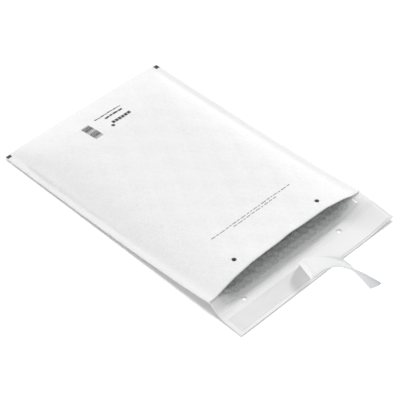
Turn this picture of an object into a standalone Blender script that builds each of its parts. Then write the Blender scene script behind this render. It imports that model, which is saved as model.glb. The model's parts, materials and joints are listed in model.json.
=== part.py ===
"""Padded envelope of the G/17 size: a white kraft mailer lined with bubble film.

One sheet of kraft paper is the whole outside. It runs from the lip of the mouth over
the front, round the closed end, back along the underside and out past the mouth as the
flap. A folded bubble film lines it. Two bands of glue close the side seams, and a strip
of pressure-sensitive adhesive on the flap is covered by a release liner, half peeled.

Axes while modelling: X across the envelope, Y from the mouth line (0) to the closed end,
Z up from the table. The last step moves every piece so that the middle of the whole
footprint is at the origin.
"""

import math

import bmesh
import bpy
from mathutils import Vector

MM = 0.001

# Driving sizes: the outside of a G/17 padded envelope, and what the arch of the opened
# pocket takes up of its length.
WIDTH = 250 * MM
FLAT_LENGTH = 350 * MM
TAKEN_UP = 2 * MM
LENGTH = FLAT_LENGTH - TAKEN_UP
FLAP = 50 * MM

# Stock. Neighbouring solids keep GAP between them.
PAPER = 0.2 * MM
GAP = 0.3 * MM
FILM_FULL = 2.8 * MM        # bubble film, bubbles at full height
FILM_EDGE = 0.5 * MM        # bubble film crushed flat at its edges and at the fold
FILM_CUT = 2.2 * MM         # bubble film at its two cut ends
TAPE = 0.2 * MM             # adhesive strip
LINER = 0.2 * MM            # release liner

# Side seams.
SEAM_WIDTH = 10 * MM
SEAM_GAP = 1.4 * MM         # between the middles of the two papers
GLUE_WIDTH = 8 * MM
GLUE_THICK = SEAM_GAP - PAPER - 2 * GAP

# Shape of the stuffed pocket, heights of the middle of the paper above the table.
LIP_HEIGHT = 23.4 * MM
PLATEAU_HEIGHT = 17.8 * MM
FOLD_HEIGHT = 5.7 * MM
SEAM_LOW = 1.6 * MM         # side seam at the closed end
SEAM_RISE = 10.6 * MM       # how much higher it stands at the mouth
SEAM_FADE = 100 * MM        # how fast that rise dies away towards the closed end
LIP_FADE = 45 * MM          # the same for the arch of the lip
END_SLOPE = 85 * MM         # length of the slope down to the closed end
LIP_SET_BACK = 3.5 * MM     # the arched lip is drawn back in its middle
FLAT_HALF = 80 * MM         # half width of the underside that lies flat
PULL_IN = 2 * MM            # each side at the mouth, drawn in by the arch
ARCH_MOUTH = 4.0            # exponents of the cross section: larger is flatter on top
ARCH_MIDDLE = 5.0
ARCH_FOLD = 8.0

# The open flap: its left edge drops to the table, its right edge stays curled up.
DROP_LEFT = 12 * MM
DROP_POWER = 1.3
DROP_RIGHT = 5.4 * MM
CURL_WIDEN = 25 * MM

# Punched holes for a sample-bag clip, centres as (across, along).
HOLE_DIAMETER = 5.6 * MM
FRONT_HOLES = {"left": (-64 * MM, 21 * MM), "right": (69 * MM, 19 * MM)}
FLAP_HOLES = {"left": (-84 * MM, -14.5 * MM), "right": (66.5 * MM, -18.5 * MM)}
HOLE_SIDES = 20

# Bubble film: half width, its set-back behind the lip, its end past the mouth.
FILM_HALF = 110 * MM
FILM_SET_BACK = 4 * MM
FILM_TAPER = 14 * MM

# Adhesive strip and release liner on the flap.
TAPE_HALF_LENGTH = 120 * MM
TAPE_CENTRE = -35 * MM
TAPE_WIDTH = 22 * MM
LINER_WIDTH = 25 * MM
LINER_RIGHT_END = 121 * MM
PEEL_START = -4 * MM        # the liner is stuck down to the right of this
PEEL_RADIUS = 6.5 * MM
PEEL_SKEW = math.radians(17)
PEEL_TURN = math.radians(172)

# The free end of the liner: centre line and direction of its width, in millimetres and
# in degrees (turn about the vertical, then lift of the edge that lay towards the flap's
# free edge), from the loop to the cut end.
FREE_END = [
    ((9.0, -50.0, 15.0), 50, 12),
    ((16.5, -60.0, 17.6), 60, 24),
    ((19.0, -72.5, 20.0), 54, 35),
    ((19.2, -85.5, 21.0), 42, 45),
    ((21.2, -97.5, 17.2), 22, 49),
    ((24.2, -109.0, 11.0), 3, 52),
]
FREE_END_STEPS = 5

# Rows and columns of the paper's grid. The film's grid is the part of it that the film
# covers, so that the facets of the two run parallel: 20 of the columns and two rows of
# the flap. The columns crowd towards the sides so that one falls on the film's edge.
PAPER_COLUMNS = 24
FILM_COLUMNS = 20
PAPER_ROWS = {"front": 18, "fold": 6, "back": 12, "flap": 10}
FILM_ROWS = {"front": 18, "fold": 6, "back": 12, "flap": 2}
FILM_PAST_MOUTH = FLAP * FILM_ROWS["flap"] / PAPER_ROWS["flap"]
COLUMN_CROWDING = math.log(1 - 2 * FILM_HALF / WIDTH) / math.log(1 - FILM_COLUMNS / PAPER_COLUMNS)


def smooth_step(value):
    """Rise from 0 to 1 with level ends."""
    value = min(max(value, 0.0), 1.0)
    return value * value * (3 - 2 * value)


def seam_height(along):
    """Height of the side seam: low at the closed end, standing up at the mouth."""
    return SEAM_LOW + SEAM_RISE * math.exp(-max(along, 0.0) / SEAM_FADE)


def across_ratio(across):
    """0 on the centre line, 1 at the inner edge of a side seam and on to the edge."""
    return min(abs(across) / (WIDTH / 2 - SEAM_WIDTH), 1.0)


def back_height(across, along):
    """Middle of the underside's paper: flat on the table, rising to the side seams."""
    inner = WIDTH / 2 - SEAM_WIDTH
    lift = smooth_step((abs(across) - FLAT_HALF) / (inner - FLAT_HALF))
    return PAPER / 2 + (seam_height(along) - SEAM_GAP / 2 - PAPER / 2) * lift


def crown_height(along, fold_start):
    """Height of the front on the centre line: high at the lip, level, then down."""
    level = PLATEAU_HEIGHT + (LIP_HEIGHT - PLATEAU_HEIGHT) * math.exp(-(along / LIP_FADE) ** 1.5)
    slope = max(0.0, (along - fold_start + END_SLOPE) / END_SLOPE)
    return FOLD_HEIGHT + (level - FOLD_HEIGHT) * (1 - min(slope, 1.0) ** 2.2)


def arch_power(along, fold_start):
    """Exponent of the cross section, from the lip's arch to the flat closed end."""
    start = ARCH_MOUTH + (ARCH_MIDDLE - ARCH_MOUTH) * smooth_step(along / (2 * LIP_FADE))
    end = smooth_step((along - fold_start + END_SLOPE) / END_SLOPE)
    return start + (ARCH_FOLD - start) * end


def front_height(across, along, fold_start):
    """Middle of the front's paper: the seam's height plus a blunt arch."""
    foot = seam_height(along) + SEAM_GAP / 2
    arch = 1 - across_ratio(across) ** arch_power(along, fold_start)
    return foot + (crown_height(along, fold_start) - foot) * arch


def fold_radius(across):
    """Half the distance between the two papers where the fold starts."""
    gap = front_height(across, LENGTH, LENGTH) - back_height(across, LENGTH)
    return gap / 2


def flap_height(across, past):
    """Middle of the flap's paper, a given distance past the mouth line."""
    edge = seam_height(0) - SEAM_GAP / 2 - PAPER / 2
    if across < 0:
        edge *= math.exp(-(past / DROP_LEFT) ** DROP_POWER)
    else:
        edge -= DROP_RIGHT * past / FLAP
    reach = WIDTH / 2 - SEAM_WIDTH + CURL_WIDEN * past / FLAP - FLAT_HALF
    return PAPER / 2 + edge * smooth_step((abs(across) - FLAT_HALF) / reach)


def pulled(across, along):
    """Place across, with the sides drawn in near the mouth."""
    fade = math.exp(-along / (1.6 * SEAM_FADE)) if along >= 0 else math.exp(along / (0.5 * FLAP))
    return across * (1 - 2 * PULL_IN * fade / WIDTH)


def lip_place(across):
    """Along-place of the front's cut lip, drawn back in the middle."""
    return LIP_SET_BACK * (1 - across_ratio(across) ** 2)


def envelope_point(across, section, part, inside=0.0, lip=0.0, past_mouth=FLAP):
    """Point of the folded sheet, or of a surface at a distance inside it.

    section names the stretch of the sheet and part runs from 0 to 1 along it: front
    from the lip to the fold, fold round the closed end, back from there to the mouth
    line, flap from the mouth line outwards.
    """
    radius = fold_radius(across)
    fold_start = LENGTH - radius
    if section == "front":
        start = lip_place(across)
        along = max(start + (fold_start - start) * part, start + lip)
        height = front_height(across, along, fold_start) - inside
    elif section == "fold":
        top = front_height(across, fold_start, fold_start)
        bottom = back_height(across, fold_start)
        turn = math.pi * (0.5 - part)
        reach = (top - bottom) / 2 - inside
        along = fold_start + reach * math.cos(turn)
        height = (top + bottom) / 2 + reach * math.sin(turn)
    elif section == "back":
        along = fold_start * (1 - part)
        height = back_height(across, along) + inside
    else:
        along = -past_mouth * part
        height = flap_height(across, -along) + inside
    return Vector((pulled(across, along), along, height))


def section_at(row, rows):
    """Name of the stretch that a row of a grid is in, and how far along it is."""
    for section, count in rows.items():
        if row <= count + 1e-6:
            return section, row / count
        row -= count
    return section, 1.0


def column_place(column):
    """Place across of a column of the paper's grid, -1 to 1, crowded at the sides."""
    return math.copysign(WIDTH / 2 * (1 - (1 - abs(column)) ** COLUMN_CROWDING), column)


def new_material(name, colour, roughness):
    """Principled material of one colour."""
    material = bpy.data.materials.new(name)
    material.use_nodes = True
    shader = material.node_tree.nodes["Principled BSDF"]
    shader.inputs["Base Color"].default_value = (*colour, 1)
    shader.inputs["Roughness"].default_value = roughness
    return material


def grid_object(name, columns, rows, place, collection, material):
    """Object from a grid primitive whose points are carried to place(column, row).

    column runs from -1 to 1 and row from 0 to the number of rows.
    """
    shape = bmesh.new()
    bmesh.ops.create_grid(shape, x_segments=columns, y_segments=rows, size=1)
    for vertex in shape.verts:
        vertex.co = place(vertex.co.x, (vertex.co.y + 1) / 2 * rows)
    mesh = bpy.data.meshes.new(name)
    shape.to_mesh(mesh)
    shape.free()
    mesh.shade_smooth()
    mesh.materials.append(material)
    thing = bpy.data.objects.new(name, mesh)
    collection.objects.link(thing)
    return thing


def thicken(thing, thickness, offset):
    """Give an open surface its wall."""
    wall = thing.modifiers.new("wall", "SOLIDIFY")
    wall.thickness = thickness
    wall.offset = offset
    return wall


def hole_cutter(name, place, low, high, collection):
    """Cylinder that punches a hole, standing upright between two heights."""
    shape = bmesh.new()
    bmesh.ops.create_cone(shape, cap_ends=True, segments=HOLE_SIDES, radius1=HOLE_DIAMETER / 2,
                          radius2=HOLE_DIAMETER / 2, depth=high - low)
    mesh = bpy.data.meshes.new(name)
    shape.to_mesh(mesh)
    shape.free()
    cutter = bpy.data.objects.new(name, mesh)
    cutter.location = (*place, (low + high) / 2)
    cutter.hide_render = True
    cutter.display_type = "WIRE"
    collection.objects.link(cutter)
    return cutter


def punch(thing, cutters):
    """Cut each hole through a piece."""
    for cutter in cutters:
        cut = thing.modifiers.new(cutter.name, "BOOLEAN")
        cut.operation = "DIFFERENCE"
        cut.object = cutter


def make_paper(collection, material):
    """The folded kraft sheet: front, closed end, underside and flap in one piece."""
    def place(column, row):
        section, part = section_at(row, PAPER_ROWS)
        return envelope_point(column_place(column), section, part)

    rows = sum(PAPER_ROWS.values())
    paper = grid_object("outer_paper", PAPER_COLUMNS, rows, place, collection, material)
    thicken(paper, PAPER, 0)
    return paper


def film_fullness(across, section, part):
    """Share of the full bubble height: crushed at the sides and round the fold."""
    side = smooth_step((FILM_HALF - abs(across)) / FILM_TAPER)
    ends = {"front": smooth_step((1 - part) * 12), "fold": 0.15, "back": smooth_step(part * 10)}
    return side * ends.get(section, FILM_CUT / FILM_FULL)


def make_film(collection, material):
    """The folded bubble film that lines the front and the underside."""
    clear = PAPER / 2 + 1.3 * GAP
    share_of_columns = FILM_COLUMNS / PAPER_COLUMNS

    def place(column, row):
        section, part = section_at(row, FILM_ROWS)
        return envelope_point(column_place(column * share_of_columns), section, part, inside=clear,
                              lip=FILM_SET_BACK, past_mouth=FILM_PAST_MOUTH)

    rows = sum(FILM_ROWS.values())
    film = grid_object("bubble_liner", FILM_COLUMNS, rows, place, collection, material)
    wall = thicken(film, FILM_FULL, -1)
    full = film.vertex_groups.new(name="bubble height")
    template = bmesh.new()
    bmesh.ops.create_grid(template, x_segments=FILM_COLUMNS, y_segments=rows, size=1)
    for vertex in template.verts:
        section, part = section_at((vertex.co.y + 1) / 2 * rows, FILM_ROWS)
        share = film_fullness(column_place(vertex.co.x * share_of_columns), section, part)
        full.add([vertex.index], share, "REPLACE")
    template.free()
    wall.vertex_group = full.name
    wall.thickness_vertex_group = FILM_EDGE / FILM_FULL
    return film


def make_seam_glue(side, sign, collection, material):
    """Band of glue between the two papers along one side."""
    middle = WIDTH / 2 - SEAM_WIDTH / 2
    start = 3 * MM
    end = LENGTH - 4 * MM
    rows = 20

    def place(column, row):
        along = start + (end - start) * row / rows
        across = sign * middle + column * GLUE_WIDTH / 2
        return Vector((pulled(across, along), along, seam_height(along)))

    glue = grid_object("seam_glue_" + side, 1, rows, place, collection, material)
    thicken(glue, GLUE_THICK, 0)
    return glue


def on_flap(across, along, lift):
    """Point a given height above the upper face of the flap."""
    return Vector((pulled(across, along), along, flap_height(across, -along) + PAPER / 2 + lift))


def make_tape(collection, material):
    """Pressure-sensitive adhesive strip, laid along the flap."""
    columns = 24

    def place(column, row):
        across = column * TAPE_HALF_LENGTH
        return on_flap(across, TAPE_CENTRE + TAPE_WIDTH * (row / 3 - 0.5), GAP + TAPE / 2)

    tape = grid_object("adhesive_strip", columns, 3, place, collection, material)
    thicken(tape, TAPE, 0)
    return tape


def width_direction(turn, lift):
    """Direction across the liner towards its front edge, turned and then lifted."""
    turn, lift = math.radians(turn), math.radians(lift)
    return Vector((-math.sin(turn) * math.cos(lift), -math.cos(turn) * math.cos(lift), math.sin(lift)))


def blend_points(points, step):
    """Catmull-Rom point between the two middle ones of four."""
    before, start, end, after = points
    slope_in, slope_out = (end - before) / 2, (after - start) / 2
    return (start * (2 * step ** 3 - 3 * step ** 2 + 1) + slope_in * (step ** 3 - 2 * step ** 2 + step)
            + end * (3 * step ** 2 - 2 * step ** 3) + slope_out * (step ** 3 - step ** 2))


def liner_edges():
    """The two long edges of the release liner, from its stuck end to its free end."""
    lift = 2 * GAP + TAPE + LINER / 2
    half = LINER_WIDTH / 2
    pairs = []
    stuck = 20
    for step in range(stuck + 1):
        across = LINER_RIGHT_END + (PEEL_START + half * math.tan(PEEL_SKEW) - LINER_RIGHT_END) * step / stuck
        pairs.append([on_flap(across, TAPE_CENTRE + half, lift), on_flap(across, TAPE_CENTRE - half, lift)])
    # The loop: the strip rolls round a cylinder whose axis is skewed to the strip.
    normal = Vector((math.cos(PEEL_SKEW), -math.sin(PEEL_SKEW), 0))
    base = on_flap(PEEL_START, TAPE_CENTRE, lift)
    flat_end = half * math.tan(PEEL_SKEW)
    turn_length = PEEL_TURN * PEEL_RADIUS / math.cos(PEEL_SKEW)
    loop = 16
    for step in range(1, loop + 1):
        travel = flat_end - (turn_length + 2 * flat_end) * step / loop
        pair = []
        for side in (half, -half):
            flat = Vector((travel, side, 0))
            rolled = max(0.0, -flat.dot(normal))
            kept = flat + normal * rolled
            angle = min(rolled / PEEL_RADIUS, PEEL_TURN)
            straight = rolled - angle * PEEL_RADIUS
            offset = -normal * (PEEL_RADIUS * math.sin(angle) + straight * math.cos(angle))
            rise = PEEL_RADIUS * (1 - math.cos(angle)) + straight * math.sin(angle)
            pair.append(base + kept + offset + Vector((0, 0, rise)))
        pairs.append(pair)
    # The free end: a ribbon through the listed stations, run smoothly out of the loop.
    ribbon = [[(Vector(centre) * MM) - width_direction(turn, raised) * half,
               (Vector(centre) * MM) + width_direction(turn, raised) * half]
              for centre, turn, raised in FREE_END]
    chain = pairs[-3::2] + ribbon
    chain.append([2 * chain[-1][edge] - chain[-2][edge] for edge in (0, 1)])
    for index in range(1, len(chain) - 2):
        for step in range(1, FREE_END_STEPS + 1):
            part = step / FREE_END_STEPS
            pairs.append([blend_points([chain[index + k][edge] for k in (-1, 0, 1, 2)], part)
                          for edge in (0, 1)])
    return pairs


def make_release_liner(collection, material):
    """Release liner: stuck down on the right, looped back and hanging over the flap."""
    pairs = liner_edges()

    def place(column, row):
        back_edge, front_edge = pairs[round(row)]
        return back_edge.lerp(front_edge, (1 - column) / 2)

    liner = grid_object("release_liner", 2, len(pairs) - 1, place, collection, material)
    thicken(liner, LINER, 0)
    return liner


def footprint_centre(things):
    """Middle of the footprint of all the pieces."""
    bpy.context.view_layer.update()
    graph = bpy.context.evaluated_depsgraph_get()
    points = [thing.matrix_world @ vertex.co for thing in things
              for vertex in thing.evaluated_get(graph).data.vertices]
    across = [point.x for point in points]
    along = [point.y for point in points]
    return Vector(((min(across) + max(across)) / 2, (min(along) + max(along)) / 2, 0))


def main():
    """Clear the scene, then build every piece and centre the whole."""
    for thing in list(bpy.data.objects):
        bpy.data.objects.remove(thing)
    parts = bpy.data.collections.new("padded_envelope")
    cutters = bpy.data.collections.new("cutters")
    for collection in (parts, cutters):
        bpy.context.scene.collection.children.link(collection)

    kraft = new_material("white kraft paper", (0.86, 0.86, 0.85), 0.75)
    film_stuff = new_material("clear bubble film", (0.88, 0.9, 0.91), 0.25)
    glue_stuff = new_material("hot-melt glue", (0.85, 0.83, 0.76), 0.5)
    tape_stuff = new_material("pressure-sensitive adhesive", (0.8, 0.8, 0.78), 0.15)
    liner_stuff = new_material("siliconised release film", (0.75, 0.76, 0.77), 0.3)

    front_cutters = [hole_cutter("front_hole_" + side, place, 15 * MM, 26 * MM, cutters)
                     for side, place in FRONT_HOLES.items()]
    flap_cutters = [hole_cutter("flap_hole_" + side, place, -4 * MM, 9 * MM, cutters)
                    for side, place in FLAP_HOLES.items()]

    paper = make_paper(parts, kraft)
    punch(paper, front_cutters + flap_cutters)
    film = make_film(parts, film_stuff)
    punch(film, front_cutters)
    pieces = [paper, film, make_tape(parts, tape_stuff), make_release_liner(parts, liner_stuff)]
    pieces += [make_seam_glue(side, sign, parts, glue_stuff)
               for side, sign in (("left", -1), ("right", 1))]

    centre = footprint_centre(pieces)
    for thing in pieces + front_cutters + flap_cutters:
        thing.location -= centre


main()
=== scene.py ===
"""Looks of a white padded envelope: bleached kraft outside, bubble film inside, flap open.

Every length is in metres and every piece is made in place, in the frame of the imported
model. The envelope is one folded sheet, so one form (SheetForm) gives the place of the
paper, of the film under it and of the marks printed on it.
"""

from __future__ import annotations

import json
import logging
import math
from dataclasses import dataclass, field
from enum import Enum

import bpy
import numpy as np
from mathutils import Matrix, Vector

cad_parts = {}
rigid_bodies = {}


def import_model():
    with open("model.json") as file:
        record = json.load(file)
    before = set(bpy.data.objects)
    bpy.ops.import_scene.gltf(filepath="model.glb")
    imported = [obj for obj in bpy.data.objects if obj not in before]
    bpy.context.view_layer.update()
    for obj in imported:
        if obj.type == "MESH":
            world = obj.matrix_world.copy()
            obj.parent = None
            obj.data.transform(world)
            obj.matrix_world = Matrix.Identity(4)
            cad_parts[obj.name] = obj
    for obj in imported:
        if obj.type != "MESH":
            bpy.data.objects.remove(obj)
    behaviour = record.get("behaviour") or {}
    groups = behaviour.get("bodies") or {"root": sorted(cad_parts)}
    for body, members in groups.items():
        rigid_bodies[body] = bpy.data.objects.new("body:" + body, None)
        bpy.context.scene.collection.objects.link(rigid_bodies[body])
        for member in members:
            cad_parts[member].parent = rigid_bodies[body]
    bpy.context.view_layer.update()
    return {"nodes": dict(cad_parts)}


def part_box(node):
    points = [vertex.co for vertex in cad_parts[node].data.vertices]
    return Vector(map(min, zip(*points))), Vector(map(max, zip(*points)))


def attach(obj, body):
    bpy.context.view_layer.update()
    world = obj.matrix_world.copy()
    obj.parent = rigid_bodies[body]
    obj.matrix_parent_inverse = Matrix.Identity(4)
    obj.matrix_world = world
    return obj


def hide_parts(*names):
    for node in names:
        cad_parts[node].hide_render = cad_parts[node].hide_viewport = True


LOG = logging.getLogger("padded_envelope")
MM = 0.001
Array = np.ndarray
TURNED_OVER = [1, 0, 3, 2]      # order of a face's corners that turns it over


class Stretch(Enum):
    """Stretches of the folded sheet, from the lip of the mouth to the edge of the flap."""

    FRONT = "front"
    FOLD = "fold"
    BACK = "back"
    FLAP = "flap"


# ---------------------------------------------------------------- small shared tools


def smooth_step(value: Array | float) -> Array:
    """Rise from 0 to 1 with level ends: three squares less two cubes.

    Args:
        value: Any number; it is clipped to 0..1 first.

    Returns:
        The eased number.
    """
    kept = np.clip(value, 0.0, 1.0)
    return kept * kept * (3 - 2 * kept)


def from_srgb(code: str) -> tuple[float, float, float, float]:
    """Turn an sRGB hex value such as #F2F2EE into a linear colour.

    Args:
        code: Six hex digits after a hash.

    Returns:
        Red, green, blue and an alpha of 1, linear.
    """
    parts = np.array([int(code[i:i + 2], 16) / 255 for i in (1, 3, 5)])
    linear = np.where(parts <= 0.04045, parts / 12.92, ((parts + 0.055) / 1.055) ** 2.4)
    return (*[float(part) for part in linear], 1.0)


def add_node(tree: bpy.types.NodeTree, kind: str, settings: dict | None = None,
             inputs: dict | None = None) -> bpy.types.Node:
    """Add a node, with its settings, its input values and the links into it.

    Args:
        tree: Node tree that takes the node.
        kind: Blender's name for the node's type.
        settings: Attribute names with their values.
        inputs: Input names or numbers, each with a value or with an output socket to link.

    Returns:
        The new node.
    """
    node = tree.nodes.new(kind)
    for name, value in (settings or {}).items():
        setattr(node, name, value)
    for socket, value in (inputs or {}).items():
        if isinstance(value, bpy.types.NodeSocket):
            tree.links.new(value, node.inputs[socket])
        else:
            node.inputs[socket].default_value = value
    return node


def set_stops(ramp: bpy.types.Node, *stops: tuple[float, str]) -> None:
    """Set a colour ramp's stops.

    Args:
        ramp: The colour ramp's node.
        stops: A place and an sRGB hex value for each stop.
    """
    for element, (place, code) in zip(ramp.color_ramp.elements, stops):
        element.position = place
        element.color = from_srgb(code)


def grid_faces(rows: int, columns: int) -> Array:
    """Corner numbers of the quads of a grid of points, row by row.

    Args:
        rows: Number of points down the grid.
        columns: Number of points in each row.

    Returns:
        One row of four corner numbers for each quad.
    """
    first = (np.arange(rows - 1)[:, None] * columns + np.arange(columns - 1)[None, :]).ravel()
    return np.stack([first, first + 1, first + columns + 1, first + columns], axis=1)


def ring_faces(sides: int, ring: int, inner: int, to_point: bool = False) -> Array:
    """Faces from a ring of points to the next ring, or a fan of them to one point.

    Args:
        sides: Number of points in a ring.
        ring: Number of the ring's first point.
        inner: Number of the next ring's first point, or of the one point.
        to_point: Whether they are triangles that meet in one point.

    Returns:
        Rows of four corner numbers; a triangle's last corner is repeated.
    """
    first = np.arange(sides)
    after = (first + 1) % sides
    ends = [np.full(sides, inner)] * 2 if to_point else [after + inner, first + inner]
    return np.stack([first + ring, after + ring, *ends], axis=1)


def mesh_piece(name: str, points: Array, faces: Array, materials: list[bpy.types.Material],
               smooth: bool = True) -> bpy.types.Object:
    """Make an object at the origin from arrays of points and quads.

    Args:
        name: Name of the object.
        points: Points as rows of three numbers.
        faces: Quads as rows of four corner numbers; a repeated last corner is a triangle.
        materials: Materials for its slots.
        smooth: Whether its faces are shaded smooth.

    Returns:
        The object, linked to the scene.
    """
    mesh = bpy.data.meshes.new(name)
    triangle = faces[:, 2] == faces[:, 3]
    mesh.from_pydata(points.reshape(-1, 3).tolist(), [],
                     faces[~triangle].tolist() + faces[triangle, :3].tolist())
    mesh.polygons.foreach_set("use_smooth", np.full(len(mesh.polygons), smooth))
    for material in materials:
        mesh.materials.append(material)
    mesh.update()
    thing = bpy.data.objects.new(name, mesh)
    bpy.context.scene.collection.objects.link(thing)
    return thing


def add_wall(thing: bpy.types.Object, thickness: float, under_slot: int = 0) -> None:
    """Give an open surface its wall, half of it on each side.

    Args:
        thing: The open surface.
        thickness: Whole thickness of the wall.
        under_slot: How many slots on from the upper side's material the lower side's is.
    """
    wall = thing.modifiers.new("wall", "SOLIDIFY")
    wall.thickness = thickness
    wall.offset = 0
    wall.material_offset = under_slot


def settle(thing: bpy.types.Object) -> None:
    """Turn a piece's modifiers into its mesh.

    Args:
        thing: The piece.
    """
    graph = bpy.context.evaluated_depsgraph_get()
    mesh = bpy.data.meshes.new_from_object(thing.evaluated_get(graph), depsgraph=graph)
    thing.modifiers.clear()
    thing.data = mesh


# ---------------------------------------------------------------- the folded sheet


@dataclass(frozen=True)
class SheetForm:
    """Shape of the stuffed, open pocket: where any point of the folded sheet lies.

    Along runs from the mouth line (0) to the closed end, and the flap lies at negative
    along. Heights are those of the middle of the paper above the table.
    """

    mouth: float
    width: float = 250 * MM
    length: float = 348 * MM
    flap: float = 50 * MM
    paper: float = 0.2 * MM
    seam_width: float = 10 * MM
    seam_gap: float = 1.4 * MM
    lip_height: float = 23.4 * MM
    plateau_height: float = 17.8 * MM
    fold_height: float = 5.7 * MM
    seam_low: float = 1.6 * MM
    seam_rise: float = 10.6 * MM
    seam_fade: float = 100 * MM
    lip_fade: float = 45 * MM
    end_slope: float = 85 * MM
    lip_set_back: float = 3.5 * MM
    lip_fade_power: float = 1.5
    slope_power: float = 2.2
    blunt_lip: float = 4.0            # powers of the arch's cross section: larger is flatter
    blunt_end: float = 8.0
    foot_ease: float = 0.7 * MM
    flat_half: float = 80 * MM
    pull_in: float = 2 * MM
    pull_fade: float = 160 * MM       # how fast the pull dies away, on the pocket and the flap
    pull_fade_flap: float = 25 * MM
    drop_left: float = 12 * MM
    drop_power: float = 1.3
    drop_right: float = 5.4 * MM
    curl_widen: float = 25 * MM
    bubble_pitch: float = 10.6 * MM
    bubble_show: float = 0.18 * MM
    bubble_fade: float = 22 * MM      # no bubble shows through within this of the fold
    dimple: float = 0.6               # share of the marks that shows underneath
    dimple_fade: float = 12 * MM
    cockle: float = 0.3 * MM
    cockle_fade: float = 30 * MM
    crease_past: float = 16 * MM      # crease along which the flap would be folded over
    crease_rise: float = 0.25 * MM
    crease_half: float = 0.9 * MM

    @property
    def inner(self) -> float:
        """Half width up to the inner edge of a side seam."""
        return self.width / 2 - self.seam_width

    def ratio(self, across: Array) -> Array:
        """0 on the centre line, 1 at a side seam's inner edge and on to the edge."""
        return np.minimum(np.abs(across) / self.inner, 1.0)

    def seam_height(self, along: Array) -> Array:
        """Height of a side seam: an exponential fall from the mouth to the closed end."""
        return self.seam_low + self.seam_rise * np.exp(-np.maximum(along, 0.0) / self.seam_fade)

    def lattice(self, across: Array, along: Array) -> Array:
        """Hexagonal lattice of the bubbles: the mean of three cosines 60 degrees apart.

        Args:
            across: Places across.
            along: Places along.

        Returns:
            1 over each bubble's middle, down to -0.5 between bubbles.
        """
        wave = 4 * math.pi / (math.sqrt(3) * self.bubble_pitch)
        turns = np.radians([90.0, 30.0, -30.0])
        return sum(np.cos(wave * (across * math.cos(t) + along * math.sin(t))) for t in turns) / 3

    def back_height(self, across: Array, along: Array) -> Array:
        """Underside: flat on the table, easing up to the height of the side seams.

        Args:
            across: Places across.
            along: Places along.

        Returns:
            Heights of the middle of the paper.
        """
        lift = smooth_step((np.abs(across) - self.flat_half) / (self.inner - self.flat_half))
        base = self.paper / 2
        return base + (self.seam_height(along) - self.seam_gap / 2 - base) * lift

    def front_height(self, across: Array, along: Array, fold_start: Array) -> Array:
        """Front: the seam's height plus an arch whose cross section is one less a power.

        The crown is high at the lip, level over the body and runs down to the fold. The
        arch's foot is eased into the seam by the logarithm of one plus its exponential.

        Args:
            across: Places across.
            along: Places along.
            fold_start: Where the fold starts, for each place.

        Returns:
            Heights of the middle of the paper.
        """
        away = np.exp(-(np.maximum(along, 0.0) / self.lip_fade) ** self.lip_fade_power)
        level = self.plateau_height + (self.lip_height - self.plateau_height) * away
        slope = np.clip((along - fold_start + self.end_slope) / self.end_slope, 0.0, 1.0)
        crown = self.fold_height + (level - self.fold_height) * (1 - slope ** self.slope_power)
        start = self.blunt_lip + smooth_step(along / (2 * self.lip_fade))
        power = start + (self.blunt_end - start) * smooth_step(slope)
        foot = self.seam_height(along) + self.seam_gap / 2
        arch = (crown - foot) * (1 - (np.abs(across) / self.inner) ** power) / self.foot_ease
        return foot + self.foot_ease * np.logaddexp(0.0, arch)

    def fold_radius(self, across: Array) -> Array:
        """Half the distance between the two papers where the fold starts."""
        end = np.full_like(across, self.length)
        return (self.front_height(across, end, end) - self.back_height(across, end)) / 2

    def flap_height(self, across: Array, past: Array) -> Array:
        """Flap: the left edge drops to the table, the right edge stays curled up.

        The left edge falls by an exponential of a power, the right edge in a line.

        Args:
            across: Places across.
            past: Distances past the mouth line.

        Returns:
            Heights of the middle of the paper.
        """
        edge = self.seam_height(0.0) - self.seam_gap / 2 - self.paper / 2
        left = edge * np.exp(-(past / self.drop_left) ** self.drop_power)
        right = edge - self.drop_right * past / self.flap
        reach = self.inner + self.curl_widen * past / self.flap - self.flat_half
        lift = smooth_step((np.abs(across) - self.flat_half) / reach)
        return self.paper / 2 + np.where(across < 0, left, right) * lift

    def cockles(self, across: Array, along: Array, fold_start: Array) -> Array:
        """Unevenness of the front: slow crossed sine waves, stronger towards the lip.

        The numbers under across and along are wave lengths in millimetres, and those
        added to them shift the waves.

        Args:
            across: Places across.
            along: Places along.
            fold_start: Where the fold starts, for each place.

        Returns:
            Heights to add, nothing at the side seams and at the closed end.
        """
        turn = 2 * math.pi / MM
        slow = np.sin(turn * (across / 47 + along / 113)) * np.sin(turn * along / 71 + 1.3)
        slow = slow + 0.7 * np.sin(turn * (across / 31 - along / 59) + 0.6)
        lip = 1.6 * np.sin(turn * across / 66 + 0.9) * np.exp(-np.maximum(along, 0) / (35 * MM))
        calm = (1 - self.ratio(across) ** 5) * smooth_step((fold_start - along) / self.cockle_fade)
        return self.cockle * (slow + lip) * calm

    def telegraph(self, across: Array, along: Array, fold_start: Array) -> Array:
        """How far the bubbles under the paper show through it: their lattice, faded.

        Args:
            across: Places across.
            along: Places along.
            fold_start: Where the fold starts, for each place.

        Returns:
            Heights to add.
        """
        near_side = 1 - self.ratio(across) ** 14
        near_end = smooth_step((fold_start - along) / self.bubble_fade)
        return self.bubble_show * self.lattice(across, along) * near_side * near_end

    def pulled(self, across: Array, along: Array) -> Array:
        """Draw the sides in near the mouth, less and less away from it.

        Args:
            across: Places across.
            along: Places along.

        Returns:
            The places across, drawn in.
        """
        fade = np.where(along >= 0, np.exp(-np.maximum(along, 0) / self.pull_fade),
                        np.exp(np.minimum(along, 0) / self.pull_fade_flap))
        return across * (1 - 2 * self.pull_in * fade / self.width)

    def placed(self, across: Array, along: Array, height: Array) -> Array:
        """Points in the model's frame from places across and along and heights."""
        across, along, height = np.broadcast_arrays(across, along, height)
        return np.stack([self.pulled(across, along), along + self.mouth, height], axis=-1)

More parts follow.
